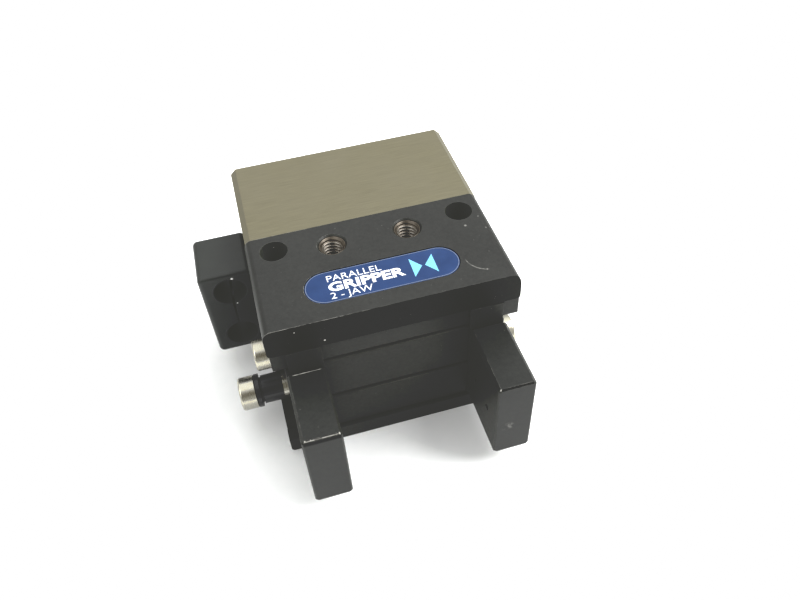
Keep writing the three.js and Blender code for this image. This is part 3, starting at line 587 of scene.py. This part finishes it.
MATERIALS = {
    "guide_anodised": black_anodised(
        "guide_anodised",
        top=(0.0208, 0.0212, 0.0192),
        front=(0.0195, 0.0200, 0.0165),
        side=(0.0270, 0.0285, 0.0235),
        roughness=0.42,
        wear_and_sheen=0.55,
        specular=0.3,
        wear_and_sheen_place=plate_wear_and_sheen,
        shading=plate_shading,
        extra_marks=plate_marks,
    ),
    # The jaws' upward faces are far paler: light painted into the narrow gaps between the bars.
    "jaw_anodised": black_anodised(
        "jaw_anodised",
        top=(0.060, 0.060, 0.053),
        front=(0.0235, 0.0240, 0.0205),
        side=(0.0190, 0.0195, 0.0160),
        roughness=0.45,
        wear_and_sheen=0.06,
        specular=0.25,
    ),
    "finger_anodised": black_anodised(
        "finger_anodised",
        top=(0.0170, 0.0178, 0.0156),
        front=(0.0108, 0.0116, 0.0094),
        side=(0.0265, 0.0275, 0.0220),
        roughness=0.44,
        wear_and_sheen=0.35,
        specular=0.3,
        wear_and_sheen_place=finger_wear_and_sheen,
        shading=finger_shading,
        extra_marks=finger_marks,
    ),
    "cylinder_anodised": olive_anodised("cylinder_anodised", brushed_along=0),
    "cover_anodised": olive_anodised("cover_anodised", brushed_along=2),
    "piston_aluminium": machined_steel("piston_aluminium", (0.62, 0.62, 0.6), 0.3, axis=1),
    "hardened_steel": machined_steel("hardened_steel", (0.26, 0.25, 0.23), 0.34, axis=1),
    "screw_steel": machined_steel("screw_steel", (0.50, 0.485, 0.42), 0.27, depth=0.0004, stained=0.3),
    "insert_steel": thread_steel("insert_steel"),
    "bracket_black": moulded_plastic(
        "bracket_black",
        (0.0122, 0.0140, 0.0115),
        0.44,
        extra_marks=bracket_glints,
        painted_light_walls=bracket_interior,
    ),
    "spacer_black": moulded_plastic("spacer_black", (0.016, 0.016, 0.016), 0.34, depth=0.003),
    "seal_rubber": seal_rubber("seal_rubber"),
    "label_foil": label_foil("label_foil"),
}
BLACK_SCREW = machined_steel("screw_blackened", (0.045, 0.043, 0.040), 0.3)
INK_WHITE = ink("ink_white", (0.80, 0.82, 0.84))
INK_CYAN = ink("ink_cyan", (0.19, 0.50, 0.68))
INK_GREY = ink("ink_grey", (0.16, 0.20, 0.30))


def give_cad_materials():
    """Every CAD node's material, by its slot. The bracket's screws are blackened."""
    for entry in frame["record"]["subparts"]:
        mesh = NODES[entry["node"]].data
        mesh.materials.clear()
        blackened = entry["node"].startswith("bracket_screw")
        mesh.materials.append(BLACK_SCREW if blackened else MATERIALS[entry["material_slot"]])


# Pieces ---------------------------------------------------------------------------------------

def mesh_object(name, vertices, faces, material):
    """A smooth-shaded mesh in one material."""
    mesh = bpy.data.meshes.new(name)
    mesh.from_pydata(vertices, [], faces)
    mesh.materials.append(material)
    for polygon in mesh.polygons:
        polygon.use_smooth = True
    made = bpy.data.objects.new(name, mesh)
    bpy.context.collection.objects.link(made)
    return made


def threaded_insert(node, piece_name):
    """A sleeve with a countersunk mouth and a real helical thread inside."""
    low, high = (Vector(corner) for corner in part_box(node))
    centre = (low + high) / 2
    outer = (high.x - low.x) / 2
    crest = THREAD_ROOT - THREAD_DEPTH
    length = high.z - low.z
    rows = int(length / THREAD_PITCH * THREAD_ROWS_PER_TURN)
    vertices = []
    for row in range(rows + 1):
        depth = row / rows * length
        for step in range(THREAD_STEPS):
            angle = step / THREAD_STEPS * 2 * math.pi
            phase = (depth / THREAD_PITCH + step / THREAD_STEPS) % 1
            profile = abs(2 * phase - 1)
            flank = min(1.0, max(0.0, FLANK_SLOPE * (profile - 0.5) + 0.5))
            thread_radius = crest + THREAD_DEPTH * flank
            mouth_radius = outer - MOUTH_LIP - depth
            radius = max(thread_radius, mouth_radius)
            vertices.append((
                centre.x + radius * math.cos(angle),
                centre.y + radius * math.sin(angle),
                high.z - depth,
            ))
    faces = []
    for row in range(rows):
        for step in range(THREAD_STEPS):
            after = (step + 1) % THREAD_STEPS
            a = row * THREAD_STEPS
            b = a + THREAD_STEPS
            faces.append((a + step, a + after, b + after, b + step))
    # The outer wall joins the first and last rows.
    top_ring = len(vertices)
    for z in (high.z, low.z):
        for step in range(THREAD_STEPS):
            angle = step / THREAD_STEPS * 2 * math.pi
            vertices.append((centre.x + outer * math.cos(angle), centre.y + outer * math.sin(angle), z))
    low_ring = top_ring + THREAD_STEPS
    last = rows * THREAD_STEPS
    for step in range(THREAD_STEPS):
        after = (step + 1) % THREAD_STEPS
        faces.append((step, top_ring + step, top_ring + after, after))
        faces.append((top_ring + step, low_ring + step, low_ring + after, top_ring + after))
        faces.append((low_ring + step, last + step, last + after, low_ring + after))
    made = mesh_object(piece_name, vertices, faces, MATERIALS["insert_steel"])
    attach(made, "housing")
    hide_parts(node)


def screw_rings(size, radius, length):
    """A socket screw's rings from the socket's floor to the tip, as (depth below the head's face,
    radius by angle, whether the band before the ring is shaded flat)."""
    head, edge = size["head"], SCREW_EDGE

    def plain(value):
        return lambda angle: value

    def socket(angle):
        return size["hex"] / math.cos((angle + math.pi / 6) % (math.pi / 3) - math.pi / 6)

    rings = [(size["socket"], socket, True), (0.0, socket, True), (0.0, plain(radius - edge), True)]
    for degrees in (30, 60, 90):
        turn = math.radians(degrees)
        rings.append((edge * (1 - math.cos(turn)), plain(radius - edge + edge * math.sin(turn)), False))
    # Two rings close to the rims keep the shading of the straight side straight.
    rings.append((edge * 1.1, plain(radius), False))
    rings.append((head - edge * 0.6, plain(radius), False))
    rings.append((head - edge * 0.5, plain(radius), False))
    rings.append((head, plain(radius - edge / 2), False))
    rings.append((head, plain(size["shank"]), True))
    rings.append((length, plain(size["shank"]), False))
    return rings


def cap_screw(node, towards, size, body, material):
    """A socket head cap screw whose head looks along one direction."""
    low, high = (Vector(corner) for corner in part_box(node))
    towards = Vector(towards)
    across = Vector(abs(value) for value in towards.yzx)
    length = (high - low).dot(Vector(abs(value) for value in towards))
    radius = (high - low).dot(across) / 2
    face = (low + high) / 2 + towards * length / 2
    turn = towards.to_track_quat("Z", "Y")
    rings = screw_rings(size, radius, length)
    vertices, faces, flat = [], [], []
    for depth, outline, _ in rings:
        for step in range(SCREW_STEPS):
            angle = step / SCREW_STEPS * 2 * math.pi
            r = outline(angle)
            vertices.append(face + turn @ Vector((r * math.cos(angle), r * math.sin(angle), -depth)))
    for index, (_, _, is_flat) in enumerate(rings[1:]):
        for step in range(SCREW_STEPS):
            after = (step + 1) % SCREW_STEPS
            a, b = index * SCREW_STEPS, (index + 1) * SCREW_STEPS
            faces.append((a + step, b + step, b + after, a + after))
            flat.append(is_flat)
    last = (len(rings) - 1) * SCREW_STEPS
    faces.append(tuple(range(SCREW_STEPS)))
    faces.append(tuple(reversed(range(last, last + SCREW_STEPS))))
    flat += [True, True]
    made = mesh_object(f"{node}_fine", vertices, faces, material)
    for polygon, is_flat in zip(made.data.polygons, flat):
        polygon.use_smooth = not is_flat
    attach(made, body)
    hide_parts(node)


def cap_screws():
    """Every socket screw that shows: at the jaws' ends, behind the housing and on the bracket."""
    steel = MATERIALS["screw_steel"]
    cap_screw("cam_screw", (-1, 0, 0), SCREW_M3, "right_jaw_unit", steel)
    cap_screw("end_screw_left", (-1, 0, 0), SCREW_M3, "left_jaw_unit", steel)
    cap_screw("end_screw_right", (1, 0, 0), SCREW_M3, "right_jaw_unit", steel)
    for index in range(4):
        cap_screw(f"housing_screw_{index + 1}", (0, 1, 0), SCREW_M3, "housing", steel)
    for index in range(2):
        cap_screw(f"bracket_screw_{index + 1}", (-1, 0, 0), SCREW_M25, "housing", BLACK_SCREW)


# Label ----------------------------------------------------------------------------------------

def label_frame():
    """The middle of the label's top face, and half its length and width."""
    low, high = (Vector(corner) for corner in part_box("name_label"))
    middle = (low + high) / 2
    middle.z = high.z
    return middle, (high - low) / 2


def printed_shape(name, points, faces, material):
    """A flat ink shape on the label, from points in label millimetres: x right, y up."""
    middle, _ = label_frame()
    bm = bmesh.new()
    vertices = [bm.verts.new((middle.x + x * MM, middle.y + y * MM, middle.z)) for x, y in points]
    flat = [bm.faces.new([vertices[index] for index in face]) for face in faces]
    lifted = bmesh.ops.extrude_face_region(bm, geom=flat)
    raised = [v for v in lifted["geom"] if isinstance(v, bmesh.types.BMVert)]
    bmesh.ops.translate(bm, verts=raised, vec=(0, 0, INK_THICKNESS))
    bmesh.ops.recalc_face_normals(bm, faces=bm.faces)
    mesh = bpy.data.meshes.new(name)
    bm.to_mesh(mesh)
    bm.free()
    mesh.materials.append(material)
    made = bpy.data.objects.new(name, mesh)
    bpy.context.collection.objects.link(made)
    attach(made, "housing")


def rim_points(inset, steps=24):
    """Points round the label's outline, moved in by some millimetres."""
    _, half = label_frame()
    radius = half.y / MM - inset
    straight = (half.x - half.y) / MM
    points = []
    for end, start in ((1, -90), (-1, 90)):
        for step in range(steps + 1):
            angle = math.radians(start + 180 * step / steps)
            points.append((end * straight + radius * math.cos(angle), radius * math.sin(angle)))
    return points


def printed_rim():
    """A thin line along the label's outline."""
    outer, inner = (rim_points(inset) for inset in RIM)
    count = len(outer)
    faces = []
    for index in range(count):
        after = (index + 1) % count
        faces.append((index, after, count + after, count + index))
    printed_shape("label_rim", outer + inner, faces, INK_GREY)


def printed_arrows():
    """Two arrowheads that point at each other."""
    points = []
    for side in (-1, 1):
        tip = ARROWS["middle"] + side * ARROWS["gap"]
        back = ARROWS["middle"] + side * ARROWS["reach"]
        points += [(tip, 0.0), (back, side * ARROWS["half"]), (back, -side * ARROWS["half"])]
    printed_shape("label_arrows", points, [(0, 1, 2), (3, 4, 5)], INK_CYAN)


def printed_words(name, words, size, baseline, weight, widen):
    """A line of generic lettering in ink, made into a mesh."""
    middle, _ = label_frame()
    curve = bpy.data.curves.new(name, "FONT")
    curve.body = words
    curve.size = size * MM
    curve.extrude = INK_THICKNESS / 2
    curve.offset = weight * MM
    curve.resolution_u = 3
    holder = bpy.data.objects.new(name + "_outline", curve)
    bpy.context.collection.objects.link(holder)
    bpy.context.view_layer.update()
    evaluated = holder.evaluated_get(bpy.context.evaluated_depsgraph_get())
    mesh = bpy.data.meshes.new_from_object(evaluated)
    bpy.data.objects.remove(holder)
    place = Matrix.Translation(middle + Vector((LABEL_LEFT * MM, baseline * MM, INK_THICKNESS / 2)))
    mesh.transform(place @ Matrix.Diagonal((widen, 1, 1, 1)))
    mesh.materials.clear()
    mesh.materials.append(INK_WHITE)
    made = bpy.data.objects.new(name, mesh)
    bpy.context.collection.objects.link(made)
    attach(made, "housing")


def label_print():
    """Three lines of plain words, two arrowheads and a thin rim."""
    for line in LABEL_LINES:
        printed_words(*line)
    printed_arrows()
    printed_rim()


# Room, light and camera -----------------------------------------------------------------------

def floor():
    """A wide, pale table top just under the body."""
    half = FLOOR_HALF
    made = mesh_object(
        "table_top",
        [(-half, -half, 0), (half, -half, 0), (half, half, 0), (-half, half, 0)],
        [(0, 1, 2, 3)],
        table_top("table_top"),
    )
    made.location.z = -FLOOR_GAP


def area_light(name, towards, distance, size, power):
    """A soft round lamp that looks at the body from the given direction."""
    data = bpy.data.lights.new(name, "AREA")
    data.shape = "DISK"
    data.size = size
    data.energy = power
    made = bpy.data.objects.new(name, data)
    direction = Vector(towards).normalized()
    made.location = Vector(LAMP_TARGET) + direction * distance
    made.rotation_mode = "QUATERNION"
    made.rotation_quaternion = direction.to_track_quat("Z", "Y")
    bpy.context.collection.objects.link(made)


def studio_sky():
    """A white dome that fades to a dim warm room at the horizon and towards the front."""
    world = bpy.data.worlds.new("studio")
    world.use_nodes = True
    tree = world.node_tree
    coords = tree.nodes.new("ShaderNodeTexCoord").outputs["Generated"]
    parts = tree.nodes.new("ShaderNodeSeparateXYZ")
    ramp = tree.nodes.new("ShaderNodeValToRGB")
    tree.links.new(coords, parts.inputs["Vector"])
    tree.links.new(parts.outputs["Z"], ramp.inputs["Fac"])
    stops = ramp.color_ramp.elements
    stops.new(0.5)
    for stop, (height, colour) in zip(stops, SKY_STOPS):
        stop.position = height
        stop.color = colour
    towards = tree.nodes.new("ShaderNodeVectorMath")
    towards.operation = "DOT_PRODUCT"
    tree.links.new(coords, towards.inputs[0])
    towards.inputs[1].default_value = Vector(DIM_SIDE).normalized()
    fade = tree.nodes.new("ShaderNodeMapRange")
    fade.interpolation_type = "SMOOTHSTEP"
    for key, value in zip(("From Min", "From Max"), DIM_FADE):
        fade.inputs[key].default_value = value
    tree.links.new(towards.outputs["Value"], fade.inputs["Value"])
    shaded = tree.nodes.new("ShaderNodeMix")
    shaded.data_type = "RGBA"
    tree.links.new(fade.outputs["Result"], shaded.inputs[0])
    tree.links.new(ramp.outputs["Color"], shaded.inputs[6])
    shaded.inputs[7].default_value = SKY_DIM
    background = tree.nodes["Background"]
    tree.links.new(shaded.outputs[2], background.inputs["Color"])
    background.inputs["Strength"].default_value = SKY_STRENGTH
    bpy.context.scene.world = world


def lights():
    """The sky and the lamps."""
    studio_sky()
    for name, lamp in LAMPS.items():
        area_light(name, *lamp)


def camera():
    """The camera, in front of the fingers and a little to their left, looking down on them."""
    data = bpy.data.cameras.new("camera")
    data.lens = CAMERA_LENS
    data.clip_start = 0.005
    made = bpy.data.objects.new("camera", data)
    azimuth, elevation, roll = (math.radians(a) for a in (CAMERA_AZIMUTH, CAMERA_ELEVATION, CAMERA_ROLL))
    back = Vector((
        math.sin(azimuth) * math.cos(elevation),
        -math.cos(azimuth) * math.cos(elevation),
        math.sin(elevation),
    ))
    made.rotation_mode = "QUATERNION"
    made.rotation_quaternion = (-back).to_track_quat("-Z", "Y") @ Quaternion((0, 0, 1), roll)
    made.location = CAMERA_PLACE
    bpy.context.collection.objects.link(made)
    bpy.context.scene.camera = made


def tone_curve():
    """A camera's response: stray light lifts the deepest blacks, and near whites burn out."""
    view = bpy.context.scene.view_settings
    view.view_transform = "Standard"
    view.use_curve_mapping = True
    for curve, black in zip(view.curve_mapping.curves, TONE_BLACK):
        curve.points[0].location = (0.0, black)
        for place in (TONE_TOE, TONE_SHOULDER, TONE_WHITE):
            curve.points.new(*place)
        for point in curve.points:
            point.handle_type = "VECTOR"
    view.curve_mapping.update()


give_cad_materials()
for side in ("left", "right"):
    threaded_insert(f"thread_insert_{side}", f"threaded_sleeve_{side}")
cap_screws()
label_print()
floor()
lights()
camera()
tone_curve()
